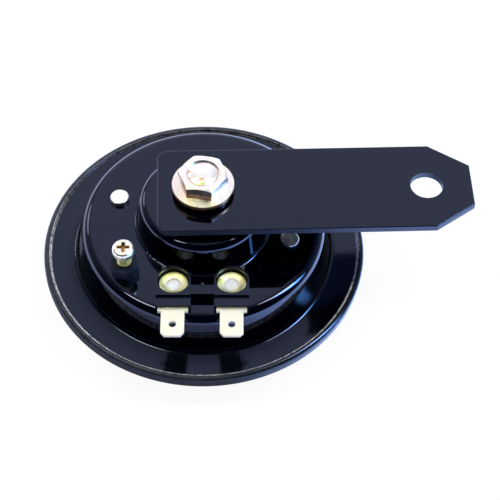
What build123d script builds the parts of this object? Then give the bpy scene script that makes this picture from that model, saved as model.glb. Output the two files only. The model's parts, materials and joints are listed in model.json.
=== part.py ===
from build123d import *
from math import cos, radians, sin, sqrt, tan
import os

# Electromagnetic disc horn, lying on its front cover. The origin is on the horn's axis, on the plane
# that the front cover rests on. +Z runs along the fixing stud, the terminals point towards -Y and the
# mounting strap points roughly along +X. All sizes are in millimetres and degrees.

# ---- Driving dimensions ----

# Sheet and clearances
housing_sheet = 1.0
cover_sheet = 0.8
free_gap = 0.2
rivet_gap = 0.05
thread_gap = 0.05

# Crimped rim
rim_dia = 92.0
rim_underside = 7.8
rim_fillet = 1.3
lip_width = 1.9
lip_edge_fillet = 0.3
gasket_thick = 0.5
rear_gasket_width = 6.6
front_gasket_width = 2.4

# Rear housing: a pan with a boss
pan_radius = 33.8
pan_height = 12.1
pan_draft = 12.0
pan_shoulder = 2.8
pan_foot = 1.2
boss_radius = 17.5
boss_height = 10.0
boss_draft = 7.0
boss_shoulder = 2.2
boss_foot = 1.1

# Front cover: resting ring, slotted web and centre cap
cover_flange_width = 5.0
ring_slope_width = 3.0
ring_width = 4.5
ring_fillet = 1.2
web_recess = 1.2
web_step = 1.2
cap_radius = 11.0
cap_recess = 0.2
slot_count = 20
slot_width = 2.4
slot_outer_margin = 3.0
slot_inner_margin = 4.1

# Fixing stud and its hardware
stud_dia = 8.0
stud_clearance = 0.25
stud_end = 0.4
stud_dome = 0.8
washer_radius = 8.0
washer_chamfer = 0.2
strap_washer_thick = 1.6
nut_washer_thick = 1.5
nut_across_flats = 12.0
nut_height = 5.6
nut_flange_radius = 8.5
nut_flange_thick = 1.2
nut_flange_rise = 0.5
nut_countersink = 0.6
nut_turn = -9.7

# Mounting strap
strap_width = 28.6
strap_thick = 2.0
strap_back = 12.6
strap_reach = 74.2
strap_corner = 3.0
strap_edge_fillet = 0.25
strap_cut_length = 11.0
strap_cut_depth = 7.4
strap_hole_dia = 9.0
strap_hole_reach = 61.6
strap_turn = 1.7

# Pole, coil and its retainer
pole_radius = 6.5
pole_collar_radius = 8.5
pole_collar_thick = 1.0
air_gap = 0.8
bobbin_height = 13.0
bobbin_wall = 1.0
bobbin_flange_radius = 15.4
bobbin_gap = 0.1
winding_inset = 0.5
retainer_width = 16.0
retainer_thick = 1.0
retainer_leg_radius = 17.2
retainer_foot_radius = 29.0
retainer_hole_radius = 7.4
retainer_bend = 1.2

# Housing rivets
rivet_circle_radius = 25.1
rivet_angle = -17.2
rivet_radius = 1.5
rivet_head_radius = 2.65
rivet_head_height = 1.4
rivet_head_fillet = 0.35
rivet_end_radius = 2.2
rivet_end_height = 1.0

# Moving assembly
diaphragm_thick = 0.3
bead_inner_radius = 24.0
bead_width = 6.0
bead_height = 0.8
armature_base_radius = 9.0
armature_base_height = 1.8
armature_waist_radius = 7.5
armature_waist_height = 1.8
armature_flange_radius = 9.5
armature_flange_height = 1.2
plunger_radius = 6.2
plunger_chamfer = 0.4
plunger_reach = 2.0
stem_radius = 2.5
stem_end = 0.3
push_ring_thick = 0.6
push_ring_radius = 9.2
collar_radius = 7.0
collar_height = 3.5
collar_chamfer = 0.35
tone_disc_edge_gap = 4.0
tone_disc_thick = 1.0
tone_disc_flat = 10.0
tone_disc_rise = 1.0
tone_nut_across_flats = 8.0
tone_nut_height = 2.7

# Contact breaker
contact_lift = 0.2
leaf_thick = 0.4
leaf_crank_fillet = 0.6
leaf_foot_fillet = 1.2
leaf_width = 6.0
leaf_inner_radius = 8.3
leaf_drop_radius = 20.5
leaf_contact_radius = 17.4
contact_radius = 1.5
moving_contact_thick = 0.5
fixed_contact_thick = 0.9
arm_thick = 0.8
arm_width = 6.0
arm_bend = 1.2
arm_tab_clearance = 2.6
insulator_plate = 0.8
insulator_margin = 3.6
bush_wall = 0.7
end_washer_thick = 0.6

# Adjusting screw and lock nut
screw_circle_radius = 27.5
screw_angle = -141.0
screw_radius = 1.75
screw_head_radius = 3.05
screw_head_height = 2.0
screw_head_fillet = 1.0
screw_standout = 8.3
screw_recess_width = 1.0
screw_recess_length = 3.4
screw_recess_depth = 1.1
lock_nut_across_flats = 7.0
lock_nut_height = 3.2
lock_nut_turn = -15.0

# Terminals
terminal_spacing = 15.8
terminal_gap = 0.05
block_width = 9.5
block_height = 3.2
block_relief = 0.2
block_front = 5.0
step_height = 2.4
step_length = 2.9
well_radius = 4.3
floor_thick = 0.6
bridge_height = 2.7
bridge_back = 0.8
bridge_front = 4.3
bridge_chamfer = 0.5
blade_thick = 0.8
blade_width = 6.3
blade_length = 7.85
blade_hole_radius = 1.0
blade_hole_from_tip = 3.7
blade_tip_chamfer = 1.0
shoulder_width = 8.2
shoulder_length = 1.2
pad_radius = 3.9
pad_dish_radius = 3.4
pad_dish_depth = 0.35
terminal_rivet_radius = 1.5
terminal_rivet_head_radius = 2.15
terminal_rivet_head_height = 1.1
spigot_wall = 0.8
inner_plate_thick = 1.0
inner_plate_margin = 1.6
lead_radius = 0.45
lead_bend = 0.55
lead_drop = 0.7
contact_lead_angle = 200.0
contact_lead_reach = 22.5

# ---- Heights worked out from the stack ----

flange_top = rim_underside + cover_sheet + 2 * gasket_thick + diaphragm_thick + housing_sheet
pan_top = flange_top + pan_height
pan_inside = pan_top - housing_sheet
boss_top = pan_top + boss_height
boss_inside = boss_top - housing_sheet
strap_bottom = boss_top + strap_washer_thick
strap_top = strap_bottom + strap_thick
nut_bottom = strap_top + nut_washer_thick
nut_top = nut_bottom + nut_height

diaphragm_bottom = rim_underside + cover_sheet + gasket_thick
diaphragm_top = diaphragm_bottom + diaphragm_thick
armature_waist_bottom = diaphragm_top + armature_base_height
armature_flange_bottom = armature_waist_bottom + armature_waist_height
armature_flange_top = armature_flange_bottom + armature_flange_height
push_ring_top = armature_flange_top + push_ring_thick
tone_disc_top = diaphragm_bottom - collar_height
tone_disc_bottom = tone_disc_top - tone_disc_thick
tone_nut_bottom = tone_disc_bottom - tone_nut_height

bobbin_top = boss_inside - pole_collar_thick
bobbin_bottom = bobbin_top - bobbin_height
retainer_bottom = bobbin_bottom - retainer_thick
retainer_foot_bottom = pan_inside - retainer_thick
plunger_top = bobbin_bottom + plunger_reach
pole_bottom = plunger_top + air_gap

leaf_bottom = push_ring_top + contact_lift
moving_contact_bottom = leaf_bottom - moving_contact_thick
fixed_contact_bottom = moving_contact_bottom - fixed_contact_thick
arm_foot_bottom = fixed_contact_bottom - arm_thick
arm_top = retainer_foot_bottom - insulator_plate
arm_bottom = arm_top - arm_thick

inner_plate_bottom = pan_inside - inner_plate_thick
blade_bottom = pan_top + floor_thick
blade_top = blade_bottom + blade_thick
block_top = pan_top + block_height

# ---- Radii and places worked out from the driving dimensions ----

rim_radius = rim_dia / 2
flange_radius = rim_radius - rim_fillet
stud_radius = stud_dia / 2
stud_hole_radius = stud_radius + stud_clearance
boss_foot_radius = boss_radius + boss_height * tan(radians(boss_draft))
pan_foot_radius = pan_radius + pan_height * tan(radians(pan_draft))
cover_flange_inner = rim_radius - cover_flange_width
ring_outer_radius = cover_flange_inner - ring_slope_width
ring_inner_radius = ring_outer_radius - ring_width
web_outer_radius = ring_inner_radius - web_step
web_inner_radius = cap_radius + web_step
slot_outer_radius = web_outer_radius - slot_outer_margin
slot_inner_radius = web_inner_radius + slot_inner_margin
tone_disc_radius = ring_outer_radius - tone_disc_edge_gap
boss_foot_reach = boss_foot * tan(radians((90 - boss_draft) / 2))
terminal_x = terminal_spacing / 2
block_back_radius = boss_foot_radius + boss_foot_reach + terminal_gap - block_relief
terminal_circle_radius = block_back_radius + block_width / 2
terminal_circle_y = -sqrt(terminal_circle_radius**2 - terminal_x**2)
terminal_front_y = terminal_circle_y - block_front - step_length
winding_radius = bobbin_flange_radius - winding_inset
bobbin_bore = pole_radius + bobbin_gap
rivet_hole_radius = rivet_radius + rivet_gap
spigot_radius = terminal_rivet_radius + rivet_gap + spigot_wall
bush_radius = rivet_hole_radius + bush_wall

rivet_right = (
    rivet_circle_radius * cos(radians(rivet_angle)),
    rivet_circle_radius * sin(radians(rivet_angle)),
)
rivet_left = (-rivet_right[0], -rivet_right[1])
screw_place = (
    screw_circle_radius * cos(radians(screw_angle)),
    screw_circle_radius * sin(radians(screw_angle)),
)
terminal_left = (-terminal_x, terminal_circle_y)
terminal_right = (terminal_x, terminal_circle_y)

# The contact leaf runs from the left terminal rivet straight to the horn's axis.
leaf_unit = (-terminal_x / terminal_circle_radius, terminal_circle_y / terminal_circle_radius)
leaf_contact_place = (leaf_contact_radius * leaf_unit[0], leaf_contact_radius * leaf_unit[1])

# ---- Rear housing ----

# One drawn sheet: boss, pan and rim flange are the same wall, turned about the stud's axis.
with BuildPart() as rear_housing:
    with BuildSketch(Plane.XZ):
        with BuildLine():
            FilletPolyline(
                (stud_hole_radius, boss_top),
                (boss_radius, boss_top),
                (boss_foot_radius, pan_top),
                (pan_radius, pan_top),
                (pan_foot_radius, flange_top),
                (flange_radius, flange_top),
                radius=[boss_shoulder, boss_foot, pan_shoulder, pan_foot],
            )
            offset(amount=housing_sheet, side=Side.RIGHT)
        make_face()
    revolve(axis=Axis.Z)
    with BuildSketch(Plane.XY.offset(pan_top)):
        with Locations(rivet_left, rivet_right):
            Circle(rivet_hole_radius)
        with Locations(terminal_left, terminal_right):
            Circle(spigot_radius + rivet_gap)
        with Locations(screw_place):
            Circle(screw_radius + thread_gap)
    extrude(amount=-2 * housing_sheet, mode=Mode.SUBTRACT)
rear_housing.part.label = "rear_housing"

# ---- Front cover ----

# One pressed sheet, hemmed over the housing's flange. It rests on the ring round its slotted web.
with BuildPart() as front_cover:
    with BuildSketch(Plane.XZ):
        with BuildLine():
            lip_radius = rim_radius - lip_width
            lip_top = flange_top + cover_sheet
            FilletPolyline(
                (lip_radius, lip_top),
                (rim_radius, lip_top),
                (rim_radius, rim_underside),
                (cover_flange_inner, rim_underside),
                (ring_outer_radius, 0),
                (ring_inner_radius, 0),
                (web_outer_radius, web_recess),
                (web_inner_radius, web_recess),
                (cap_radius, cap_recess),
                (0, cap_recess),
                radius=[
                    rim_fillet,
                    rim_fillet,
                    ring_fillet,
                    ring_fillet,
                    ring_fillet,
                    ring_fillet,
                    ring_fillet,
                    ring_fillet,
                ],
            )
            offset(amount=cover_sheet, side=Side.RIGHT)
        make_face()
    revolve(axis=Axis.Z)
    lip_edges = front_cover.edges().filter_by(GeomType.CIRCLE).group_by(Axis.Z)[-1]
    fillet(lip_edges.sort_by(SortBy.RADIUS)[0], radius=lip_edge_fillet)
    with BuildSketch(Plane.XY.offset(web_recess)):
        with PolarLocations((slot_outer_radius + slot_inner_radius) / 2, slot_count):
            SlotOverall(slot_outer_radius - slot_inner_radius, slot_width)
    extrude(amount=cover_sheet, both=True, mode=Mode.SUBTRACT)
front_cover.part.label = "front_cover"

# ---- Stud hardware and strap ----

# The pole is one turned piece: stud, collar under the boss and pole inside the coil.
with BuildPart() as pole_core:
    with BuildSketch(Plane.XZ):
        with BuildLine():
            stud_top = nut_top + stud_end
            shank_top = stud_top - stud_dome
            dome_radius = (stud_radius**2 + stud_dome**2) / (2 * stud_dome)
            Polyline(
                (0, pole_bottom),
                (pole_radius, pole_bottom),
                (pole_radius, bobbin_top),
                (pole_collar_radius, bobbin_top),
                (pole_collar_radius, boss_inside),
                (stud_radius, boss_inside),
                (stud_radius, shank_top),
            )
            RadiusArc((stud_radius, shank_top), (0, stud_top), radius=-dome_radius)
            Line((0, stud_top), (0, pole_bottom))
        make_face()
    revolve(axis=Axis.Z)
pole_core.part.label = "pole_core"

with BuildPart() as strap_washer:
    with BuildSketch(Plane.XY.offset(boss_top)):
        Circle(washer_radius)
        Circle(stud_hole_radius, mode=Mode.SUBTRACT)
    extrude(amount=strap_washer_thick)
    washer_rims = strap_washer.edges().filter_by(GeomType.CIRCLE).sort_by(SortBy.RADIUS)[-2:]
    chamfer(washer_rims, length=washer_chamfer)
strap_washer.part.label = "strap_washer"

strap_plane = Plane.XY.offset(strap_bottom).rotated((0, 0, strap_turn))

with BuildPart() as mounting_strap:
    with BuildSketch(strap_plane):
        with BuildLine():
            half_width = strap_width / 2
            cut_start = strap_reach - strap_cut_length
            end_half = half_width - strap_cut_depth
            Polyline(
                (-strap_back, -half_width),
                (cut_start, -half_width),
                (strap_reach, -end_half),
                (strap_reach, end_half),
                (cut_start, half_width),
                (-strap_back, half_width),
                close=True,
            )
        make_face()
        Circle(stud_hole_radius, mode=Mode.SUBTRACT)
        with Locations((strap_hole_reach, 0)):
            Circle(strap_hole_dia / 2, mode=Mode.SUBTRACT)
    extrude(amount=strap_thick)
    back_corners = mounting_strap.edges().filter_by(Axis.Z).filter_by(GeomType.LINE)
    back_corners = back_corners.sort_by(Axis.X)[:2]
    fillet(back_corners, radius=strap_corner)
    fillet(mounting_strap.faces().sort_by(Axis.Z)[-1].outer_wire().edges(), radius=strap_edge_fillet)
mounting_strap.part.label = "mounting_strap"

with BuildPart() as nut_washer:
    with BuildSketch(Plane.XY.offset(strap_top)):
        Circle(washer_radius)
        Circle(stud_hole_radius, mode=Mode.SUBTRACT)
    extrude(amount=nut_washer_thick)
    washer_rims = nut_washer.edges().filter_by(GeomType.CIRCLE).sort_by(SortBy.RADIUS)[-2:]
    chamfer(washer_rims, length=washer_chamfer)
nut_washer.part.label = "nut_washer"

nut_plane = Plane.XY.offset(nut_bottom).rotated((0, 0, nut_turn))

# A hexagon cut down by a cone at its top corners, standing on a coned flange.
with BuildPart() as flange_nut:
    with BuildSketch(nut_plane):
        RegularPolygon(nut_across_flats / 2, 6, major_radius=False)
    extrude(amount=nut_height)
    with BuildSketch(Plane.XZ):
        with BuildLine():
            corner_radius = nut_across_flats / 2 / cos(radians(30))
            corner_drop = (corner_radius - nut_across_flats / 2) * tan(radians(30))
            Polyline(
                (nut_across_flats / 2, nut_top),
                (corner_radius + free_gap, nut_top - corner_drop - free_gap * tan(radians(30))),
                (corner_radius + free_gap, nut_top),
                close=True,
            )
        make_face()
    revolve(axis=Axis.Z, mode=Mode.SUBTRACT)
    with BuildSketch(Plane.XZ):
        with BuildLine():
            Polyline(
                (0, nut_bottom),
                (nut_flange_radius, nut_bottom),
                (nut_flange_radius, nut_bottom + nut_flange_thick),
                (nut_across_flats / 2, nut_bottom + nut_flange_thick + nut_flange_rise),
                (0, nut_bottom + nut_flange_thick + nut_flange_rise),
                close=True,
            )
        make_face()
    revolve(axis=Axis.Z)
    with Locations(Plane.XY.offset(nut_top)):
        CounterSinkHole(
            radius=stud_radius + thread_gap,
            counter_sink_radius=stud_radius + nut_countersink,
            depth=nut_height,
            counter_sink_angle=90,
        )
flange_nut.part.label = "flange_nut"

# ---- Coil ----

with BuildPart() as coil_bobbin:
    with BuildSketch(Plane.XZ):
        with BuildLine():
            tube_radius = bobbin_bore + bobbin_wall
            Polyline(
                (bobbin_bore, bobbin_bottom),
                (bobbin_flange_radius, bobbin_bottom),
                (bobbin_flange_radius, bobbin_bottom + bobbin_wall),
                (tube_radius, bobbin_bottom + bobbin_wall),
                (tube_radius, bobbin_top - bobbin_wall),
                (bobbin_flange_radius, bobbin_top - bobbin_wall),
                (bobbin_flange_radius, bobbin_top),
                (bobbin_bore, bobbin_top),
                close=True,
            )
        make_face()
    revolve(axis=Axis.Z)
coil_bobbin.part.label = "coil_bobbin"

with BuildPart() as coil_winding:
    with BuildSketch(Plane.XY.offset(bobbin_bottom + bobbin_wall)):
        Circle(winding_radius)
        Circle(bobbin_bore + bobbin_wall, mode=Mode.SUBTRACT)
    extrude(amount=bobbin_height - 2 * bobbin_wall)
coil_winding.part.label = "coil_winding"

# A strip bent into a shallow bridge, riveted inside the pan, that holds the bobbin up in the boss.
retainer_section = Plane.XZ.rotated((0, 0, rivet_angle))

with BuildPart() as coil_retainer:
    with BuildSketch(retainer_section):
        with BuildLine():
            FilletPolyline(
                (-retainer_foot_radius, retainer_foot_bottom),
                (-retainer_leg_radius, retainer_foot_bottom),
                (-retainer_leg_radius, retainer_bottom),
                (retainer_leg_radius, retainer_bottom),
                (retainer_leg_radius, retainer_foot_bottom),
                (retainer_foot_radius, retainer_foot_bottom),
                radius=[retainer_bend, retainer_bend / 2, retainer_bend / 2, retainer_bend],
            )
            offset(amount=retainer_thick, side=Side.LEFT)
        make_face()
    extrude(amount=retainer_width / 2, both=True)
    with BuildSketch(Plane.XY.offset(pan_inside)):
        Circle(retainer_hole_radius)
        with Locations(rivet_left, rivet_right):
            Circle(rivet_hole_radius)
    extrude(amount=-pan_inside, mode=Mode.SUBTRACT)
coil_retainer.part.label = "coil_retainer"

# ---- Moving assembly ----

with BuildPart() as armature:
    with BuildSketch(Plane.XZ):
        with BuildLine():
            stem_bottom = tone_nut_bottom - stem_end
            Polyline(
                (0, stem_bottom),
                (stem_radius, stem_bottom),
                (stem_radius, diaphragm_top),
                (armature_base_radius, diaphragm_top),
                (armature_base_radius, armature_waist_bottom),
                (armature_waist_radius, armature_waist_bottom),
                (armature_waist_radius, armature_flange_bottom),
                (armature_flange_radius, armature_flange_bottom),
                (armature_flange_radius, armature_flange_top),
                (plunger_radius, armature_flange_top),
                (plunger_radius, plunger_top),
                (0, plunger_top),
                close=True,
            )
        make_face()
    revolve(axis=Axis.Z)
    plunger_rim = armature.edges().filter_by(GeomType.CIRCLE).group_by(Axis.Z)[-1]
    chamfer(plunger_rim, length=plunger_chamfer)
armature.part.label = "armature"

with BuildPart() as push_ring:
    with BuildSketch(Plane.XY.offset(armature_flange_top)):
        Circle(push_ring_radius)
        Circle(plunger_radius + rivet_gap, mode=Mode.SUBTRACT)
    extrude(amount=push_ring_thick)
push_ring.part.label = "push_ring"

# A thin steel disc with one annular bead, clamped in the rim between the gaskets.
with BuildPart() as diaphragm:
    with BuildSketch(Plane.XZ):
        with BuildLine():
            bead_top = diaphragm_bottom + bead_height
            bead_side = bead_width / 4
            FilletPolyline(
                (stem_radius + rivet_gap, diaphragm_bottom),
                (bead_inner_radius, diaphragm_bottom),
                (bead_inner_radius + bead_side, bead_top),
                (bead_inner_radius + bead_width - bead_side, bead_top),
                (bead_inner_radius + bead_width, diaphragm_bottom),
                (flange_radius, diaphragm_bottom),
                radius=[bead_side, bead_side, bead_side, bead_side],
            )
            offset(amount=diaphragm_thick, side=Side.LEFT)
        make_face()
    revolve(axis=Axis.Z)
diaphragm.part.label = "diaphragm"

with BuildPart() as distance_collar:
    with BuildSketch(Plane.XY.offset(tone_disc_top)):
        Circle(collar_radius)
        Circle(stem_radius + rivet_gap, mode=Mode.SUBTRACT)
    extrude(amount=collar_height)
    collar_rims = distance_collar.edges().filter_by(GeomType.CIRCLE).sort_by(SortBy.RADIUS)[-2:]
    chamfer(collar_rims, length=collar_chamfer)
distance_collar.part.label = "distance_collar"

# A steel disc, flat in the middle and gently coned towards its free edge.
with BuildPart() as tone_disc:
    with BuildSketch(Plane.XZ):
        with BuildLine():
            FilletPolyline(
                (stem_radius + rivet_gap, tone_disc_bottom),
                (tone_disc_flat, tone_disc_bottom),
                (tone_disc_radius, tone_disc_bottom + tone_disc_rise),
                radius=tone_disc_flat,
            )
            offset(amount=tone_disc_thick, side=Side.LEFT)
        make_face()
    revolve(axis=Axis.Z)
tone_disc.part.label = "tone_disc"

with BuildPart() as tone_disc_nut:
    with BuildSketch(Plane.XY.offset(tone_nut_bottom)):
        RegularPolygon(tone_nut_across_flats / 2, 6, major_radius=False)
        Circle(stem_radius + thread_gap, mode=Mode.SUBTRACT)
    extrude(amount=tone_nut_height)
tone_disc_nut.part.label = "tone_disc_nut"

# ---- Rim gaskets ----

with BuildPart() as front_gasket:
    with BuildSketch(Plane.XY.offset(rim_underside + cover_sheet)):
        Circle(flange_radius)
        Circle(flange_radius - front_gasket_width, mode=Mode.SUBTRACT)
    extrude(amount=gasket_thick)
front_gasket.part.label = "front_gasket"

with BuildPart() as rear_gasket:
    with BuildSketch(Plane.XY.offset(diaphragm_top)):
        Circle(flange_radius)
        Circle(flange_radius - rear_gasket_width, mode=Mode.SUBTRACT)
    extrude(amount=gasket_thick)
rear_gasket.part.label = "rear_gasket"

# ---- Contact breaker ----

# The left rivet also holds the contact arm, between insulating pieces, so its stack is deeper.
with BuildPart() as contact_insulator:
    with BuildSketch(Plane.XY.offset(arm_top)):
        with Locations(rivet_left):
            Circle(insulator_margin)
    extrude(amount=insulator_plate)
    with BuildSketch(Plane.XY.offset(arm_bottom)):
        with Locations(rivet_left):
            Circle(bush_radius)
    extrude(amount=arm_thick)
    with BuildSketch(Plane.XY.offset(retainer_foot_bottom)):
        with Locations(rivet_left):
            Circle(rivet_hole_radius)
    extrude(amount=-(insulator_plate + arm_thick), mode=Mode.SUBTRACT)
contact_insulator.part.label = "contact_insulator"

with BuildPart() as contact_washer:
    with BuildSketch(Plane.XY.offset(arm_bottom)):
        with Locations(rivet_left):
            Circle(insulator_margin)
            Circle(rivet_hole_radius, mode=Mode.SUBTRACT)
    extrude(amount=-end_washer_thick)
contact_washer.part.label = "contact_washer"

# A flat arm from the left rivet, round the coil and under the adjusting screw, then down a tab to
# the foot that carries the fixed contact under the leaf.
with BuildPart() as contact_arm:
    tab_x = leaf_contact_place[0] - leaf_width / 2 - arm_tab_clearance
    elbow = (screw_place[0], leaf_contact_place[1])
    with BuildSketch(Plane.XY.offset(arm_bottom)):
        with BuildLine():
            Polyline(rivet_left, elbow, (tab_x, leaf_contact_place[1]))
            offset(amount=arm_width / 2)
        make_face()
        with Locations((tab_x + arm_width, leaf_contact_place[1])):
            Rectangle(2 * arm_width, 2 * arm_width, mode=Mode.SUBTRACT)
        with Locations(rivet_left):
            Circle(bush_radius + rivet_gap, mode=Mode.SUBTRACT)
    extrude(amount=arm_thick)
    with BuildSketch(Plane.XZ.offset(-leaf_contact_place[1])):
        with BuildLine():
            FilletPolyline(
                (tab_x, arm_top),
                (tab_x, arm_foot_bottom),
                (leaf_contact_place[0] + contact_radius, arm_foot_bottom),
                radius=arm_bend,
            )
            offset(amount=arm_thick, side=Side.LEFT)
        make_face()
    extrude(amount=arm_width / 2, both=True)
contact_arm.part.label = "contact_arm"

with BuildPart() as fixed_contact:
    with BuildSketch(Plane.XY.offset(fixed_contact_bottom)):
        with Locations(leaf_contact_place):
            Circle(contact_radius)
    extrude(amount=fixed_contact_thick)
fixed_contact.part.label = "fixed_contact"

with BuildPart() as moving_contact:
    with BuildSketch(Plane.XY.offset(moving_contact_bottom)):
        with Locations(leaf_contact_place):
            Circle(contact_radius)
    extrude(amount=moving_contact_thick)
moving_contact.part.label = "moving_contact"

# A thin spring strip, cranked down from the left terminal's rivet to reach over the push ring.
leaf_section = Plane(
    origin=(0, 0, 0),
    x_dir=(leaf_unit[0], leaf_unit[1], 0),
    z_dir=(leaf_unit[1], -leaf_unit[0], 0),
)

with BuildPart() as contact_leaf:
    with BuildSketch(leaf_section):
        with BuildLine():
            leaf_foot = inner_plate_bottom - leaf_thick
            FilletPolyline(
                (leaf_inner_radius, leaf_bottom),
                (leaf_drop_radius, leaf_bottom),
                (leaf_drop_radius, leaf_foot),
                (terminal_circle_radius + leaf_width / 2, leaf_foot),
                radius=[leaf_crank_fillet, leaf_foot_fillet],
            )
            offset(amount=leaf_thick, side=Side.LEFT)
        make_face()
    extrude(amount=leaf_width / 2, both=True)
    with BuildSketch(Plane.XY.offset(inner_plate_bottom)):
        with Locations(terminal_left):
            Circle(terminal_rivet_radius + rivet_gap)
    extrude(amount=-2 * leaf_thick, mode=Mode.SUBTRACT)
contact_leaf.part.label = "contact_leaf"

# ---- Housing rivets ----

housing_rivets = []
for side, place, stack_bottom in (
    ("left", rivet_left, arm_bottom - end_washer_thick),
    ("right", rivet_right, retainer_foot_bottom),
):
    with BuildPart() as housing_rivet:
        with BuildSketch(Plane.XY.offset(pan_top)):
            with Locations(place):
                Circle(rivet_head_radius)
        extrude(amount=rivet_head_height)
        fillet(housing_rivet.edges().group_by(Axis.Z)[-1], radius=rivet_head_fillet)
        with BuildSketch(Plane.XY.offset(pan_top)):
            with Locations(place):
                Circle(rivet_radius)
        extrude(amount=stack_bottom - pan_top)
        with BuildSketch(Plane.XY.offset(stack_bottom)):
            with Locations(place):
                Circle(rivet_end_radius)
        extrude(amount=-rivet_end_height)
    housing_rivet.part.label = f"housing_rivet_{side}"
    housing_rivets.append(housing_rivet.part)

# ---- Adjusting screw ----

screw_head_bottom = pan_top + screw_standout

with BuildPart() as adjusting_screw:
    with BuildSketch(Plane.XY.offset(arm_top)):
        with Locations(screw_place):
            Circle(screw_radius)
    extrude(amount=screw_head_bottom - arm_top)
    with BuildSketch(Plane.XY.offset(screw_head_bottom)):
        with Locations(screw_place):
            Circle(screw_head_radius)
    extrude(amount=screw_head_height)
    fillet(adjusting_screw.edges().group_by(Axis.Z)[-1], radius=screw_head_fillet)
    with BuildSketch(Plane.XY.offset(screw_head_bottom + screw_head_height)):
        with Locations(screw_place):
            Rectangle(screw_recess_length, screw_recess_width)
            Rectangle(screw_recess_width, screw_recess_length)
    extrude(amount=-screw_recess_depth, mode=Mode.SUBTRACT)
adjusting_screw.part.label = "adjusting_screw"

with BuildPart() as lock_nut:
    with BuildSketch(Plane.XY.offset(pan_top)):
        with Locations(screw_place):
            RegularPolygon(lock_nut_across_flats / 2, 6, major_radius=False, rotation=lock_nut_turn)
            Circle(screw_radius + thread_gap, mode=Mode.SUBTRACT)
    extrude(amount=lock_nut_height)
lock_nut.part.label = "lock_nut"

# ---- Terminals ----

# One moulding: two wells joined by a bridge, each with a step in front that covers the blade's root.
with BuildPart() as terminal_insulator:
    for place in (terminal_left, terminal_right):
        with BuildSketch(Plane.XY.offset(pan_top)):
            with Locations(place):
                Circle(block_width / 2)
            with Locations((place[0], place[1] - block_front / 2)):
                Rectangle(block_width, block_front)
        extrude(amount=block_height)
        # The bottom edge is bevelled at the back, where it meets the curve at the boss's foot.
        back_edge = terminal_insulator.edges().filter_by(GeomType.CIRCLE).group_by(Axis.Z)[0]
        chamfer(back_edge.sort_by_distance(place)[0], length=block_relief)
        with BuildSketch(Plane.XY.offset(pan_top)):
            with Locations((place[0], place[1] - block_front - step_length / 2)):
                Rectangle(block_width, step_length)
        extrude(amount=step_height)
    with BuildSketch(Plane.YZ):
        with BuildLine():
            bridge_top = pan_top + bridge_height
            back_y = terminal_circle_y - bridge_back
            front_y = terminal_circle_y - bridge_front
            Polyline(
                (back_y, pan_top),
                (back_y, bridge_top - bridge_chamfer),
                (back_y - bridge_chamfer, bridge_top),
                (front_y, bridge_top),
                (front_y, pan_top),
                close=True,
            )
        make_face()
    extrude(amount=terminal_x - well_radius, both=True)
    # Wells, the slots that the blades' roots lie in, and the bushes down through the housing
    for place in (terminal_left, terminal_right):
        with BuildSketch(Plane.XY.offset(block_top)):
            with Locations(place):
                Circle(well_radius)
        extrude(amount=blade_bottom - block_top, mode=Mode.SUBTRACT)
        with BuildSketch(Plane.XY.offset(blade_bottom)):
            slot_middle_y = (place[1] + terminal_front_y) / 2
            with Locations((place[0], slot_middle_y)):
                Rectangle(blade_width + 2 * rivet_gap, place[1] - terminal_front_y)
        extrude(amount=blade_thick + rivet_gap, mode=Mode.SUBTRACT)
        with BuildSketch(Plane.XY.offset(pan_top)):
            with Locations(place):
                Circle(spigot_radius)
        extrude(amount=-housing_sheet)
        with BuildSketch(Plane.XY.offset(blade_bottom)):
            with Locations(place):
                Circle(terminal_rivet_radius + rivet_gap)
        extrude(amount=-(floor_thick + housing_sheet), mode=Mode.SUBTRACT)
terminal_insulator.part.label = "terminal_insulator"

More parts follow.
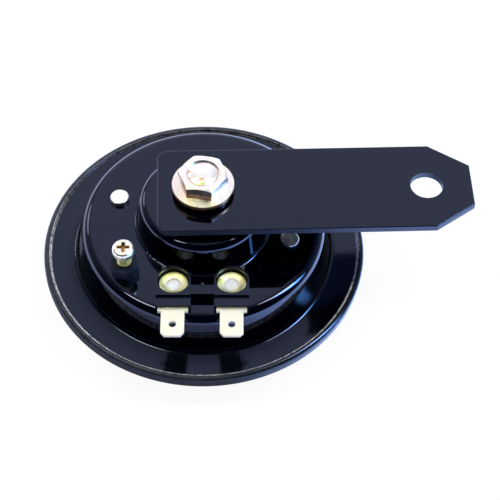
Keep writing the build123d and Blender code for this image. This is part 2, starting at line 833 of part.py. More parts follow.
terminals = []
terminal_rivets = []
for side, place, stack_bottom in (
    ("left", terminal_left, inner_plate_bottom - leaf_thick),
    ("right", terminal_right, inner_plate_bottom),
):
    # A flat blade with shoulders against the insulator, and a dished pad under the rivet's head
    with BuildPart() as terminal:
        tip_y = terminal_front_y - shoulder_length - blade_length
        with BuildSketch(Plane.XY.offset(blade_bottom)):
            with Locations(place):
                Circle(pad_radius)
            with Locations((place[0], (place[1] + tip_y) / 2)):
                Rectangle(blade_width, place[1] - tip_y)
            with Locations((place[0], terminal_front_y - shoulder_length / 2)):
                Rectangle(shoulder_width, shoulder_length)
            with Locations(place):
                Circle(terminal_rivet_radius + rivet_gap, mode=Mode.SUBTRACT)
            with Locations((place[0], tip_y + blade_hole_from_tip)):
                Circle(blade_hole_radius, mode=Mode.SUBTRACT)
        extrude(amount=blade_thick)
        tip_corners = terminal.edges().filter_by(Axis.Z).group_by(Axis.Y)[0]
        chamfer(tip_corners, length=blade_tip_chamfer)
        with Locations((place[0], place[1], blade_top - pad_dish_depth / 2)):
            Cone(terminal_rivet_head_radius, pad_dish_radius, pad_dish_depth, mode=Mode.SUBTRACT)
    terminal.part.label = f"terminal_{side}"
    terminals.append(terminal.part)

    with BuildPart() as terminal_rivet:
        head_bottom = blade_top - pad_dish_depth
        head_sphere = (terminal_rivet_head_radius**2 + terminal_rivet_head_height**2) / (
            2 * terminal_rivet_head_height
        )
        with BuildSketch(Plane(origin=(*place, head_bottom), z_dir=(0, -1, 0))):
            with BuildLine():
                RadiusArc(
                    (terminal_rivet_head_radius, 0),
                    (0, terminal_rivet_head_height),
                    radius=-head_sphere,
                )
                Polyline((0, terminal_rivet_head_height), (0, 0), (terminal_rivet_head_radius, 0))
            make_face()
        revolve(axis=Axis((*place, 0), (0, 0, 1)))
        with BuildSketch(Plane.XY.offset(head_bottom)):
            with Locations(place):
                Circle(terminal_rivet_radius)
        extrude(amount=stack_bottom - head_bottom)
        with BuildSketch(Plane.XY.offset(stack_bottom)):
            with Locations(place):
                Circle(rivet_end_radius)
        extrude(amount=-rivet_end_height)
    terminal_rivet.part.label = f"terminal_rivet_{side}"
    terminal_rivets.append(terminal_rivet.part)

with BuildPart() as inner_insulator:
    with BuildSketch(Plane.XY.offset(inner_plate_bottom)):
        with Locations((0, terminal_circle_y)):
            plate_width = spigot_radius + inner_plate_margin
            SlotCenterToCenter(terminal_spacing, 2 * plate_width)
        with Locations(terminal_left, terminal_right):
            Circle(terminal_rivet_radius + rivet_gap, mode=Mode.SUBTRACT)
    extrude(amount=inner_plate_thick)
inner_insulator.part.label = "inner_insulator"

# ---- Coil leads ----

# Both leads leave the winding radially. One meets the right terminal's rivet from the side, the
# other bends down onto the contact arm.
supply_unit = (terminal_right[0] / terminal_circle_radius, terminal_right[1] / terminal_circle_radius)
supply_reach = terminal_circle_radius - rivet_end_radius
supply_z = inner_plate_bottom - rivet_end_height / 2

with BuildPart() as supply_lead:
    supply_start = (winding_radius * supply_unit[0], winding_radius * supply_unit[1], supply_z)
    with BuildSketch(Plane(origin=supply_start, z_dir=(supply_unit[0], supply_unit[1], 0))):
        Circle(lead_radius)
    extrude(amount=supply_reach - winding_radius)
supply_lead.part.label = "supply_lead"

contact_unit = (cos(radians(contact_lead_angle)), sin(radians(contact_lead_angle)))
contact_z = arm_top + lead_drop

with BuildPart() as contact_lead:
    contact_start = (winding_radius * contact_unit[0], winding_radius * contact_unit[1], contact_z)
    with BuildLine():
        FilletPolyline(
            contact_start,
            (contact_lead_reach * contact_unit[0], contact_lead_reach * contact_unit[1], contact_z),
            (contact_lead_reach * contact_unit[0], contact_lead_reach * contact_unit[1], arm_top),
            radius=lead_bend,
        )
    with BuildSketch(Plane(origin=contact_start, z_dir=(contact_unit[0], contact_unit[1], 0))):
        Circle(lead_radius)
    sweep()
contact_lead.part.label = "contact_lead"

# ---- Files ----

os.makedirs("parts", exist_ok=True)

pieces = [
    rear_housing.part,
    front_cover.part,
    pole_core.part,
    strap_washer.part,
    mounting_strap.part,
    nut_washer.part,
    flange_nut.part,
    coil_bobbin.part,
    coil_winding.part,
    coil_retainer.part,
    armature.part,
    push_ring.part,
    diaphragm.part,
    distance_collar.part,
    tone_disc.part,
    tone_disc_nut.part,
    front_gasket.part,
    rear_gasket.part,
    contact_insulator.part,
    contact_washer.part,
    contact_arm.part,
    fixed_contact.part,
    moving_contact.part,
    contact_leaf.part,
    *housing_rivets,
    adjusting_screw.part,
    lock_nut.part,
    terminal_insulator.part,
    *terminals,
    *terminal_rivets,
    inner_insulator.part,
    supply_lead.part,
    contact_lead.part,
]
for piece in pieces:
    export_step(piece, f"parts/{piece.label}.step")
    print(f"{piece.label:20s} {piece.volume:10.2f} mm3")
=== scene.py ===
"""Looks of the disc horn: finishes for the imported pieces, threads and wear, on a white studio floor."""
import json
import math

import bpy
from mathutils import Matrix, Vector


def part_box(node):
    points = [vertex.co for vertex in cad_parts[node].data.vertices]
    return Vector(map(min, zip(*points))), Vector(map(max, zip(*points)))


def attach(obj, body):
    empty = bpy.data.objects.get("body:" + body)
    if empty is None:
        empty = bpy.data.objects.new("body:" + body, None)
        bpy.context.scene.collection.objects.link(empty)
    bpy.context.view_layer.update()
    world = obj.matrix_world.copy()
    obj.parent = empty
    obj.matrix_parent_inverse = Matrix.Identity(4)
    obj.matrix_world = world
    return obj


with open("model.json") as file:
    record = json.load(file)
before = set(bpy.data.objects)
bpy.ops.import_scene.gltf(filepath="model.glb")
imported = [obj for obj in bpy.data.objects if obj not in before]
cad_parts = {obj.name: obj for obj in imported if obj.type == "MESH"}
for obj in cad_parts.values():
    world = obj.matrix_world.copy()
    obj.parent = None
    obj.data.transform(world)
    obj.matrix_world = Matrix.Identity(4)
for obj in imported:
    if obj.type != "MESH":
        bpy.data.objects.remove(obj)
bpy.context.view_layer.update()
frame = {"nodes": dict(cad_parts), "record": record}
nodes = frame["nodes"]
scene = bpy.context.scene
MM = 0.001

# ---- Camera: focal length, distance and direction fitted to the photograph's ellipses ----

IMAGE_PX = 500.0
FOCAL_PX = 1481.95
SENSOR_MM = 36.0
CAMERA_DISTANCE = 0.4279
CAMERA_ELEVATION = math.radians(53.02)
CAMERA_AZIMUTH = math.radians(-1.2)
CAMERA_ROLL = math.radians(-1.101)
# The point aimed at is the rim's middle plane on the axis, this many pixels from the picture's middle
AIM_HEIGHT = 0.010
AIM_PX = (-45.555, -1.946)


def add_camera():
    forward = Vector(
        (
            -math.sin(CAMERA_AZIMUTH) * math.cos(CAMERA_ELEVATION),
            math.cos(CAMERA_AZIMUTH) * math.cos(CAMERA_ELEVATION),
            -math.sin(CAMERA_ELEVATION),
        )
    )
    level = Vector((math.cos(CAMERA_AZIMUTH), math.sin(CAMERA_AZIMUTH), 0.0))
    down = forward.cross(level)
    right = math.cos(CAMERA_ROLL) * level + math.sin(CAMERA_ROLL) * down
    down = -math.sin(CAMERA_ROLL) * level + math.cos(CAMERA_ROLL) * down
    aim = Vector((0.0, 0.0, AIM_HEIGHT))
    side = AIM_PX[0] / FOCAL_PX * CAMERA_DISTANCE
    below = AIM_PX[1] / FOCAL_PX * CAMERA_DISTANCE
    place = aim - side * right - below * down - CAMERA_DISTANCE * forward
    data = bpy.data.cameras.new("camera")
    data.sensor_width = SENSOR_MM
    data.lens = SENSOR_MM * FOCAL_PX / IMAGE_PX
    data.clip_start = 0.01
    data.clip_end = 20.0
    camera = bpy.data.objects.new("camera", data)
    turn = Matrix((right, -down, -forward)).transposed().to_4x4()
    camera.matrix_world = Matrix.Translation(place) @ turn
    scene.collection.objects.link(camera)
    scene.camera = camera


add_camera()
scene.view_settings.view_transform = "Standard"

# ---- Node helpers ----


def new_material(name):
    material = bpy.data.materials.new(name)
    material.use_nodes = True
    tree = material.node_tree
    return material, tree, tree.nodes["Principled BSDF"]


def noise(tree, vector, scale, detail=3.0, roughness=0.55):
    node = tree.nodes.new("ShaderNodeTexNoise")
    node.inputs["Scale"].default_value = scale
    node.inputs["Detail"].default_value = detail
    node.inputs["Roughness"].default_value = roughness
    tree.links.new(vector, node.inputs["Vector"])
    return node.outputs["Fac"]


def position(tree):
    """The point in the shared frame, in metres."""
    return tree.nodes.new("ShaderNodeTexCoord").outputs["Object"]


def ramp(tree, value, low, high, out_low=0.0, out_high=1.0):
    node = tree.nodes.new("ShaderNodeMapRange")
    node.inputs["From Min"].default_value = low
    node.inputs["From Max"].default_value = high
    node.inputs["To Min"].default_value = out_low
    node.inputs["To Max"].default_value = out_high
    tree.links.new(value, node.inputs["Value"])
    return node.outputs["Result"]


def maths(tree, operation, *values):
    node = tree.nodes.new("ShaderNodeMath")
    node.operation = operation
    for socket, value in zip(node.inputs, values):
        if isinstance(value, (int, float)):
            socket.default_value = value
        else:
            tree.links.new(value, socket)
    return node.outputs[0]


def product(tree, first, *factors):
    for factor in factors:
        first = maths(tree, "MULTIPLY", first, factor)
    return first


def mix_colour(tree, factor, first, second):
    node = tree.nodes.new("ShaderNodeMix")
    node.data_type = "RGBA"
    for socket, value in ((node.inputs[0], factor), (node.inputs[6], first), (node.inputs[7], second)):
        if hasattr(value, "is_output"):
            tree.links.new(value, socket)
        elif isinstance(value, (int, float)):
            socket.default_value = value
        else:
            socket.default_value = (*value, 1.0)
    return node.outputs[2]


def bump(tree, shader, height, distance, strength=1.0):
    node = tree.nodes.new("ShaderNodeBump")
    node.inputs["Distance"].default_value = distance
    node.inputs["Strength"].default_value = strength
    tree.links.new(height, node.inputs["Height"])
    tree.links.new(node.outputs["Normal"], shader.inputs["Normal"])


# ---- Materials ----

# Radii about the stud's axis and heights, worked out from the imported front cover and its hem
COVER_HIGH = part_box("front_cover")[1]
HEM_WIDTH = 1.9 * MM
SEAM_RADIUS = COVER_HIGH[0] - HEM_WIDTH
SEAM_LINE_LEVEL = COVER_HIGH[2] - 1.1 * MM
SEAM_LINE_FEATHER = 0.1 * MM
# Between these two radii light falls on the housing's flange as if the sheet flared there, by a bump
# whose height is FLARE_CURVE times the squared distance from the outer one. The solid is flat.
FOOT_RADIUS = 36.6 * MM
FLAT_RADIUS = 41.8 * MM
FLARE_CURVE = 20.0
FLANGE_ROUGHNESS = 0.12
SCREW_RECESS_RADIUS = 1.9 * MM

# Noise scales, in waves a metre
ENAMEL_PATCHES = 60.0
DUST_SPECKS = 1500.0
ORANGE_PEEL = 700.0
HEM_MOTTLE = 420.0
SEAM_LINE_BREAKS = 700.0
NUT_PATCHES = 260.0
STUD_ORANGE_SPOTS = 620.0
STUD_GREEN_SPOTS = 410.0
DISH_PATCHES = 330.0
METAL_GRAIN = 2500.0
PLASTIC_GRAIN = 3000.0

# Heights of the bumps, in metres
PEEL_HEIGHT = 0.000004
METAL_GRAIN_HEIGHT = 0.000006
PLASTIC_GRAIN_HEIGHT = 0.00001

# Colours, linear
# Painted light: a blue tint on the reflections of enamel and black moulding, standing for the studio's blue
# light
REFLECTION_BLUE_TINT = (0.55, 0.64, 1.0)
ENAMEL_DARK = (0.0002, 0.0004, 0.0020)
ENAMEL_PALE = (0.0007, 0.0010, 0.0034)
DUST = (0.05, 0.055, 0.06)
HEM_GREY = (0.042, 0.047, 0.050)
# The seam's bright line: partly bare metal where paint is worn off, partly painted highlight
WORN_AND_HIGHLIGHT_WHITE = (0.85, 0.86, 0.98)
SCREW_STAIN = (0.45, 0.22, 0.07)
# Painted reflection colours for the nut's near flats
NUT_REFLECTED_BROWN = (1.0, 0.50, 0.22)
NUT_SHADE = (0.16, 0.12, 0.11)
NUT_GREEN = (0.92, 0.95, 0.50)
# Painted reflection on the stud's near side
STUD_REFLECTED_GREEN = (0.62, 0.72, 0.25)
STUD_ORANGE = (0.90, 0.45, 0.20)
DISH_GREEN = (0.78, 0.80, 0.22)


def split_xyz(tree, place):
    split = tree.nodes.new("ShaderNodeSeparateXYZ")
    tree.links.new(place, split.inputs["Vector"])
    return split.outputs


def radius_about_axis(tree, place):
    axes = split_xyz(tree, place)
    x2 = maths(tree, "MULTIPLY", axes["X"], axes["X"])
    y2 = maths(tree, "MULTIPLY", axes["Y"], axes["Y"])
    return maths(tree, "SQRT", maths(tree, "ADD", x2, y2))


def centre_of(node):
    low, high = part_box(node)
    return (low[0] + high[0]) / 2, (low[1] + high[1]) / 2


def facing_up(tree):
    """1 on faces that look up or down, 0 on upright walls."""
    normal = tree.nodes.new("ShaderNodeNewGeometry").outputs["True Normal"]
    return ramp(tree, maths(tree, "ABSOLUTE", split_xyz(tree, normal)["Z"]), 0.3, 0.6)


def gloss_paint(name, roughness=0.05, detail=None):
    """Stoved black enamel with faint orange peel and a little dust; its reflections get a painted blue tint
    that stands for the studio's blue light.
    """
    material, tree, shader = new_material(name)
    place = position(tree)
    patch = noise(tree, place, ENAMEL_PATCHES, 5.0)
    colour = mix_colour(tree, patch, ENAMEL_DARK, ENAMEL_PALE)
    dust = ramp(tree, noise(tree, place, DUST_SPECKS, 1.0), 0.76, 0.80)
    colour = mix_colour(tree, dust, colour, DUST)
    gloss = ramp(tree, patch, 0.35, 0.65, roughness * 0.7, roughness * 1.4)
    peel = maths(tree, "MULTIPLY", noise(tree, place, ORANGE_PEEL, 2.0), PEEL_HEIGHT)
    if detail:
        colour, gloss, peel = detail(tree, place, colour, gloss, peel)
    tree.links.new(colour, shader.inputs["Base Color"])
    tree.links.new(gloss, shader.inputs["Roughness"])
    shader.inputs["Specular Tint"].default_value = (*REFLECTION_BLUE_TINT, 1.0)
    bump(tree, shader, peel, 1.0)
    return material


def flared_flange(tree, place, colour, gloss, height):
    """The flange is less glossy than the pan, seems to flare at its foot, and carries the seam's bright line,
    partly worn paint and partly painted highlight.
    """
    radius = radius_about_axis(tree, place)
    short = maths(tree, "MAXIMUM", maths(tree, "SUBTRACT", FLAT_RADIUS, radius), 0.0)
    flare = maths(tree, "MULTIPLY", maths(tree, "MULTIPLY", short, short), FLARE_CURVE)
    outside = maths(tree, "GREATER_THAN", radius, FOOT_RADIUS)
    gloss = maths(tree, "MAXIMUM", gloss, maths(tree, "MULTIPLY", outside, FLANGE_ROUGHNESS))
    line = (SEAM_RADIUS - 0.3 * MM, SEAM_RADIUS + 1.0 * MM)
    colour, gloss = worn_and_highlight_line(tree, place, colour, gloss, radius, *line)
    return colour, gloss, maths(tree, "ADD", height, maths(tree, "MULTIPLY", flare, outside))


def worn_and_highlight_line(tree, place, colour, gloss, radius, low, high):
    """A broken bright line between two radii, fading at the back: partly paint worn off the edge, partly a
    painted highlight.
    """
    axes = split_xyz(tree, place)
    begins = ramp(tree, radius, low - SEAM_LINE_FEATHER, low + SEAM_LINE_FEATHER)
    ends = ramp(tree, radius, high, high + 2 * SEAM_LINE_FEATHER, 1.0, 0.0)
    above = maths(tree, "GREATER_THAN", axes["Z"], SEAM_LINE_LEVEL)
    broken = ramp(tree, noise(tree, place, SEAM_LINE_BREAKS, 6.0, 0.8), 0.40, 0.56, 0.12, 1.0)
    fading = ramp(tree, axes["Y"], 0.0, 20.0 * MM, 1.0, 0.2)
    worn_and_highlight = product(tree, begins, ends, above, broken, fading)
    # Painted highlight along the seam edge, partly worn paint as well
    colour = mix_colour(tree, worn_and_highlight, colour, WORN_AND_HIGHLIGHT_WHITE)
    return colour, maths(tree, "MAXIMUM", gloss, maths(tree, "MULTIPLY", worn_and_highlight, 0.5))


def mottled_rim(tree, place, colour, gloss, height):
    """The hem is duller and greyer in mottled patches, most on the left, and its inner edge carries the
    bright seam line.
    """
    radius = radius_about_axis(tree, place)
    on_rim = ramp(tree, radius, SEAM_RADIUS - 0.6 * MM, SEAM_RADIUS + 0.2 * MM)
    left = ramp(tree, split_xyz(tree, place)["X"], 0.0, 30.0 * MM, 1.0, 0.25)
    mottle = ramp(tree, noise(tree, place, HEM_MOTTLE, 6.0, 0.7), 0.42, 0.68, 0.35, 1.0)
    colour = mix_colour(tree, product(tree, on_rim, mottle, left), colour, HEM_GREY)
    gloss = maths(tree, "ADD", gloss, product(tree, on_rim, left, 0.36))
    line = (SEAM_RADIUS - 0.4 * MM, SEAM_RADIUS + 0.2 * MM)
    colour, gloss = worn_and_highlight_line(tree, place, colour, gloss, radius, *line)
    return colour, gloss, height


def sheared_edges(tree, place, colour, gloss, height):
    """The strap's cut edges are matt where the flat faces are glossy."""
    return colour, maths(tree, "MAXIMUM", gloss, ramp(tree, facing_up(tree), 0.0, 1.0, 0.55, 0.0)), height


def plated(name, colours, roughness=0.34, scale=500.0, metallic=1.0, detail=None):
    """Plated metal whose tint drifts between three colours."""
    material, tree, shader = new_material(name)
    place = position(tree)
    broad = ramp(tree, noise(tree, place, scale, 3.0), 0.35, 0.65)
    fine = ramp(tree, noise(tree, place, scale * 2.3, 4.0), 0.52, 0.7)
    tone = mix_colour(tree, fine, mix_colour(tree, broad, colours[0], colours[1]), colours[2])
    if detail:
        tone = detail(tree, place, tone)
    tree.links.new(tone, shader.inputs["Base Color"])
    shader.inputs["Metallic"].default_value = metallic
    gloss = ramp(tree, broad, 0.0, 1.0, roughness * 0.8, roughness * 1.2)
    tree.links.new(gloss, shader.inputs["Roughness"])
    bump(tree, shader, noise(tree, place, METAL_GRAIN, 3.0), METAL_GRAIN_HEIGHT)
    return material


def stained_recess(tree, place, tone):
    """The plating has turned brown down in the screw's cross."""
    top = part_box("adjusting_screw")[1][2]
    shift = tree.nodes.new("ShaderNodeVectorMath")
    shift.operation = "SUBTRACT"
    tree.links.new(place, shift.inputs[0])
    shift.inputs[1].default_value = (*centre_of("adjusting_screw"), 0.0)
    radius = radius_about_axis(tree, shift.outputs["Vector"])
    inside = maths(tree, "LESS_THAN", radius, SCREW_RECESS_RADIUS)
    depth = ramp(tree, split_xyz(tree, place)["Z"], top - 0.9 * MM, top - 0.2 * MM, 1.0, 0.0)
    return mix_colour(tree, maths(tree, "MULTIPLY", inside, depth), tone, SCREW_STAIN)


def painted_nut_reflection(tree, place, tone):
    """Painted reflection on the nut's near flats, brown below and dark above; the flange is also greener
    towards the viewer.
    """
    low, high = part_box("flange_nut")
    middle = (low[2] + high[2]) / 2
    axes = split_xyz(tree, place)
    wall = ramp(tree, facing_up(tree), 0.0, 1.0, 0.9, 0.0)
    rise = ramp(tree, axes["Z"], middle, middle + 0.7 * MM)
    # Painted reflection: the near flats brown below and dark above
    brown = mix_colour(tree, rise, NUT_REFLECTED_BROWN, NUT_SHADE)
    wall = maths(tree, "MULTIPLY", wall, ramp(tree, axes["Y"], low[1] * 0.3, 0.0, 1.0, 0.15))
    tone = mix_colour(tree, wall, tone, brown)
    near = ramp(tree, axes["Y"], low[1], low[1] * 0.45, 1.0, 0.0)
    patch = ramp(tree, noise(tree, place, NUT_PATCHES, 3.0), 0.4, 0.6, 0.4, 1.0)
    near = maths(tree, "MULTIPLY", near, maths(tree, "SUBTRACT", 1.0, wall))
    return mix_colour(tree, maths(tree, "MULTIPLY", near, patch), tone, NUT_GREEN)


def spotted_end(tree, place, tone):
    """Small orange stains on the stud's end, and green spots on its near side that are a painted reflection.
    """
    orange = ramp(tree, noise(tree, place, STUD_ORANGE_SPOTS, 1.0), 0.66, 0.72)
    front = ramp(tree, split_xyz(tree, place)["Y"], -1.0 * MM, -2.0 * MM)
    spots = ramp(tree, noise(tree, place, STUD_GREEN_SPOTS, 2.0), 0.54, 0.66)
    # Painted reflection: green spots only on the near side
    tone = mix_colour(tree, maths(tree, "MULTIPLY", front, spots), tone, STUD_REFLECTED_GREEN)
    return mix_colour(tree, orange, tone, STUD_ORANGE)


def greened_dish(tree, place, tone):
    """The brass is yellow-green on the sides of both dishes, which lie alike on either side of the axis."""
    low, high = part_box("terminal_rivet_right")
    across, along = centre_of("terminal_rivet_right")
    head = (high[0] - low[0]) / 2
    axes = split_xyz(tree, place)
    shift = tree.nodes.new("ShaderNodeCombineXYZ")
    from_middle = maths(tree, "ABSOLUTE", axes["X"])
    tree.links.new(maths(tree, "SUBTRACT", from_middle, across), shift.inputs["X"])
    tree.links.new(maths(tree, "SUBTRACT", axes["Y"], along), shift.inputs["Y"])
    radius = radius_about_axis(tree, shift.outputs["Vector"])
    begins = ramp(tree, radius, head, head * 1.3)
    ends = ramp(tree, radius, head * 1.8, head * 1.95, 1.0, 0.0)
    patch = ramp(tree, noise(tree, place, DISH_PATCHES, 3.0), 0.42, 0.6, 0.45, 1.0)
    return mix_colour(tree, product(tree, begins, ends, patch), tone, DISH_GREEN)


def plain(name, colour, roughness, metallic=0.0, scale=700.0):
    """One colour, a little lighter and darker in patches."""
    material, tree, shader = new_material(name)
    place = position(tree)
    patch = noise(tree, place, scale, 4.0)
    tone = mix_colour(tree, patch, [c * 0.8 for c in colour], [c * 1.2 for c in colour])
    tree.links.new(tone, shader.inputs["Base Color"])
    shader.inputs["Metallic"].default_value = metallic
    # Non-metals get the painted blue tint on their reflections
    if not metallic:
        shader.inputs["Specular Tint"].default_value = (*REFLECTION_BLUE_TINT, 1.0)
    gloss = ramp(tree, patch, 0.3, 0.7, roughness * 0.85, roughness * 1.15)
    tree.links.new(gloss, shader.inputs["Roughness"])
    bump(tree, shader, noise(tree, place, PLASTIC_GRAIN, 2.0), PLASTIC_GRAIN_HEIGHT)
    return material


YELLOW_ZINC = ((1.0, 0.92, 0.82), (1.0, 0.86, 0.85), (0.95, 0.90, 0.62))
BRIGHT_ZINC = ((0.98, 0.96, 0.94), (0.95, 0.93, 0.90), (0.88, 0.86, 0.80))
PALE_BRASS = ((1.0, 0.98, 0.84), (1.0, 0.96, 0.76), (0.96, 0.94, 0.60))
NUT_ZINC = ((1.0, 0.92, 0.82), (1.0, 0.84, 0.84), (0.95, 0.90, 0.66))
STUD_ZINC = ((1.0, 0.95, 0.92), (1.0, 0.90, 0.88), (0.98, 0.95, 0.80))
SCREW_ZINC = ((0.98, 0.94, 0.80), (0.98, 0.94, 0.80), (0.7, 0.6, 0.4))
RIVET_WHITE = ((1.0, 1.0, 1.0), (1.0, 1.0, 1.0), (1.0, 1.0, 0.92))
THREAD_ZINC = ((0.95, 1.0, 0.36), (1.0, 1.0, 0.55), (0.8, 0.85, 0.3))

FINISHES = {
    "black_paint": gloss_paint("black_paint"),
    "black_steel": gloss_paint("black_steel", 0.16),
    "yellow_zinc": plated("yellow_zinc", YELLOW_ZINC),
    "bright_zinc": plated("bright_zinc", BRIGHT_ZINC, 0.38),
    "terminal_brass": plated("terminal_brass", PALE_BRASS, 0.42, metallic=0.8, detail=greened_dish),
    "moulded_black": plain("moulded_black", (0.003, 0.004, 0.009), 0.26),
    "insulating_board": plain("insulating_board", (0.30, 0.14, 0.06), 0.6),
    "enamelled_wire": plain("enamelled_wire", (0.5, 0.16, 0.06), 0.25, 0.8),
    "contact_metal": plain("contact_metal", (0.55, 0.55, 0.57), 0.3, 1.0),
    "spring_steel": plain("spring_steel", (0.5, 0.51, 0.53), 0.3, 1.0),
    "gasket": plain("gasket", (0.03, 0.03, 0.03), 0.8),
}
OWN_FINISHES = {
    "front_cover": gloss_paint("cover_paint", detail=mottled_rim),
    "rear_housing": gloss_paint("housing_paint", detail=flared_flange),
    "mounting_strap": gloss_paint("strap_paint", detail=sheared_edges),
    "lock_nut": gloss_paint("nut_blacking", 0.65),
    "flange_nut": plated("nut_plating", NUT_ZINC, detail=painted_nut_reflection),
    "pole_core": plated("stud_plating", STUD_ZINC, detail=spotted_end),
    "adjusting_screw": plated("screw_plating", SCREW_ZINC, detail=stained_recess),
    "terminal_rivet_left": plated("rivet_plating", RIVET_WHITE, 0.62, metallic=0.7),
}
OWN_FINISHES["terminal_rivet_right"] = OWN_FINISHES["terminal_rivet_left"]

for part in frame["record"]["subparts"]:
    node = nodes[part["node"]]
    finish = OWN_FINISHES.get(part["node"]) or FINISHES[part["material_slot"]]
    node.data.materials.clear()
    node.data.materials.append(finish)
    for polygon in node.data.polygons:
        polygon.material_index = 0

# ---- Pieces that the solids leave out ----

THREAD_PITCH = 0.7 * MM
THREAD_ROOT = 1.72 * MM
THREAD_CREST = 1.98 * MM
THREAD_STEPS = 32
SCREW_HEAD_HEIGHT = 2.0 * MM
NIB_RADIUS = 0.4 * MM
NIB_STEPS = 12
# Reach and lift of the nib's rings below its tip, as shares of its radius
NIB_PROFILE = ((0.5, 0.87), (0.87, 0.5), (1.0, 0.0), (1.0, -0.3))
BRIDGE_SETBACK = 0.9 * MM
BRIDGE_DROP = 0.6 * MM


def add_piece(name, points, faces, material):
    mesh = bpy.data.meshes.new(name)
    mesh.from_pydata(points, [], faces)
    mesh.materials.append(material)
    piece = bpy.data.objects.new(name, mesh)
    scene.collection.objects.link(piece)
    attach(piece, "housing")
    return piece


def add_thread():
    """The adjusting screw's thread between the lock nut and the head, as one ridge on a helix."""
    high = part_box("adjusting_screw")[1]
    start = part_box("lock_nut")[1][2] + THREAD_PITCH / 2
    end = high[2] - SCREW_HEAD_HEIGHT - THREAD_PITCH / 2
    centre = centre_of("adjusting_screw")
    steps = int((end - start) / THREAD_PITCH * THREAD_STEPS)
    profile = ((THREAD_ROOT, -THREAD_PITCH / 2), (THREAD_CREST, 0.0), (THREAD_ROOT, THREAD_PITCH / 2))
    points = []
    for step in range(steps + 1):
        turn = 2 * math.pi * step / THREAD_STEPS
        rise = start + THREAD_PITCH * step / THREAD_STEPS
        for radius, lift in profile:
            x, y = radius * math.cos(turn), radius * math.sin(turn)
            points.append((centre[0] + x, centre[1] + y, rise + lift))
    faces = [(0, 1, 2), (3 * steps + 2, 3 * steps + 1, 3 * steps)]
    for step in range(steps):
        for side in range(3):
            here, beyond = 3 * step + side, 3 * step + (side + 1) % 3
            faces.append((beyond, here, here + 3, beyond + 3))
    thread = plated("thread_plating", THREAD_ZINC, 0.35, metallic=0.2)
    add_piece("screw_thread", points, faces, thread)


def add_nib():
    """The moulding's gate nib on the bridge between the terminals."""
    along = centre_of("terminal_rivet_left")[1] - BRIDGE_SETBACK
    bridge_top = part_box("terminal_insulator")[1][2] - BRIDGE_DROP
    points = [(0.0, along, bridge_top + NIB_RADIUS)]
    for reach, lift in NIB_PROFILE:
        for step in range(NIB_STEPS):
            turn = 2 * math.pi * step / NIB_STEPS
            x, y = NIB_RADIUS * reach * math.cos(turn), NIB_RADIUS * reach * math.sin(turn)
            points.append((x, along + y, bridge_top + NIB_RADIUS * lift))
    faces = [(0, 1 + step, 1 + (step + 1) % NIB_STEPS) for step in range(NIB_STEPS)]
    for ring in range(len(NIB_PROFILE) - 1):
        first = 1 + ring * NIB_STEPS
        for step in range(NIB_STEPS):
            beyond = (step + 1) % NIB_STEPS
            faces.append((first + step, first + NIB_STEPS + step, first + NIB_STEPS + beyond, first + beyond))
    last = 1 + (len(NIB_PROFILE) - 1) * NIB_STEPS
    faces.append(tuple(last + NIB_STEPS - 1 - step for step in range(NIB_STEPS)))
    # The nib is grey, far lighter than the black moulding: a painted highlight for the glint on its tip
    add_piece("gate_nib", points, faces, plain("nib_grey_highlight", (0.10, 0.10, 0.12), 0.35))


add_thread()
add_nib()

# ---- Floor, backdrop and light ----

# The studio is pale behind the object and dark behind the camera. The camera sees the floor white; for
# reflections the floor glows in these colours instead:
# darker beside the rim as painted shade, pale blue beyond, bluer on the right.
FLOOR_SHADE_BESIDE = (0.25, 0.27, 0.40)
FLOOR_NEAR = (1.6, 1.85, 2.85)
FLOOR_FAR = (2.4, 2.3, 3.2)
FLOOR_RIGHT = (3.0, 4.2, 7.0)
FLOOR_SEEN = (1.05, 1.05, 1.05)
FLOOR_HALF_SIZE = 3.0
FLOOR_DROP = 0.2 * MM
BESIDE_RADII = (56.0 * MM, 85.0 * MM)
FAR_RADII = (90.0 * MM, 200.0 * MM)
RIGHT_EDGE = (10.0 * MM, 60.0 * MM)
SEEN_SHARE = 0.9
MIRRORED_SHARE = 0.8
SKY_COLOUR = (1.12, 1.15, 1.28)
SKY_DARK = (0.0, 0.02, 0.06)
WINDOW_COLOUR = (11.0, 30.0, 58.0)
WINDOW_MIDDLE = -0.03


def add_floor():
    size = FLOOR_HALF_SIZE
    corners = [(-size, -size, 0), (size, -size, 0), (size, size, 0), (-size, size, 0)]
    mesh = bpy.data.meshes.new("floor")
    mesh.from_pydata(corners, [], [(0, 1, 2, 3)])
    floor = bpy.data.objects.new("floor", mesh)
    scene.collection.objects.link(floor)
    material, tree, shader = new_material("floor_white")
    shader.inputs["Base Color"].default_value = (0.85, 0.86, 0.9, 1.0)
    shader.inputs["Roughness"].default_value = 0.8
    place = position(tree)
    radius = radius_about_axis(tree, place)
    mirrored = mix_colour(tree, ramp(tree, radius, *FAR_RADII), FLOOR_NEAR, FLOOR_FAR)
    # Painted shade beside the rim, in what reflections show of the floor
    mirrored = mix_colour(tree, ramp(tree, radius, *BESIDE_RADII), FLOOR_SHADE_BESIDE, mirrored)
    right = ramp(tree, split_xyz(tree, place)["X"], *RIGHT_EDGE)
    mirrored = mix_colour(tree, right, mirrored, FLOOR_RIGHT)
    rays = tree.nodes.new("ShaderNodeLightPath").outputs
    glow = tree.nodes.new("ShaderNodeEmission")
    tree.links.new(mix_colour(tree, rays["Is Camera Ray"], mirrored, FLOOR_SEEN), glow.inputs["Color"])
    seen = maths(tree, "MULTIPLY", rays["Is Camera Ray"], SEEN_SHARE)
    shined = maths(tree, "MULTIPLY", rays["Is Glossy Ray"], MIRRORED_SHARE)
    blend = tree.nodes.new("ShaderNodeMixShader")
    tree.links.new(maths(tree, "MAXIMUM", seen, shined), blend.inputs["Fac"])
    tree.links.new(shader.outputs["BSDF"], blend.inputs[1])
    tree.links.new(glow.outputs["Emission"], blend.inputs[2])
    tree.links.new(blend.outputs["Shader"], tree.nodes["Material Output"].inputs["Surface"])
    mesh.materials.append(material)
    floor.location.z = -FLOOR_DROP


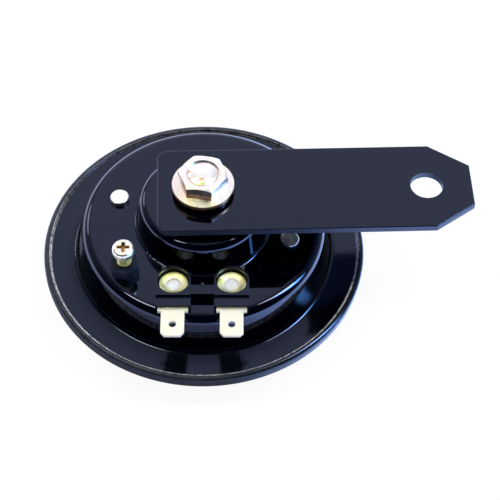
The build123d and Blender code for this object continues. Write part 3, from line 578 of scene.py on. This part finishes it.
def add_world():
    """Pale towards the back wall (+Y), fading overhead, dark blue behind the camera."""
    world = bpy.data.worlds.new("studio")
    scene.world = world
    world.use_nodes = True
    tree = world.node_tree
    background = tree.nodes["Background"]
    axes = split_xyz(tree, tree.nodes.new("ShaderNodeTexCoord").outputs["Generated"])
    back = ramp(tree, axes["Y"], -0.15, 0.62)
    side = maths(tree, "ABSOLUTE", axes["X"])
    level = maths(tree, "MULTIPLY", back, ramp(tree, side, 0.25, 0.5, 1.0, 0.45))
    sky = mix_colour(tree, level, SKY_DARK, SKY_COLOUR)
    # A blue window on the right, which only reflections show
    off_middle = maths(tree, "ABSOLUTE", maths(tree, "SUBTRACT", axes["Y"], WINDOW_MIDDLE))
    window = product(
        tree,
        ramp(tree, off_middle, 0.04, 0.10, 1.0, 0.0),
        ramp(tree, axes["X"], 0.4, 0.5),
        ramp(tree, axes["Z"], 0.38, 0.66),
        ramp(tree, axes["Z"], 0.78, 0.90, 1.0, 0.0),
        tree.nodes.new("ShaderNodeLightPath").outputs["Is Glossy Ray"],
    )
    tree.links.new(mix_colour(tree, window, sky, WINDOW_COLOUR), background.inputs["Color"])
    background.inputs["Strength"].default_value = 1.0


def add_softbox(name, direction, breadth, height, radiance, colour, distance=1.2):
    """An oval lamp in a direction from the object, facing it; its height follows the elevation."""
    data = bpy.data.lights.new(name, "AREA")
    data.shape = "ELLIPSE"
    data.size = breadth
    data.size_y = height
    data.energy = radiance * math.pi * (math.pi * breadth * height / 4)
    data.color = colour
    light = bpy.data.objects.new(name, data)
    aim = Vector(direction).normalized()
    light.location = aim * distance
    light.rotation_euler = (-aim).to_track_quat("-Z", "Y").to_euler()
    scene.collection.objects.link(light)


add_floor()
add_world()
add_softbox("overhead_left", (-0.38, 0.0, 0.925), 0.17, 0.46, 22.0, (1.0, 0.90, 0.66))
add_softbox("overhead_right", (0.52, 0.0, 0.86), 0.17, 0.56, 24.0, (1.0, 0.92, 0.76))
add_softbox("left_far", (-0.62, 0.60, 0.50), 0.30, 0.30, 5.0, (0.92, 0.92, 1.0))
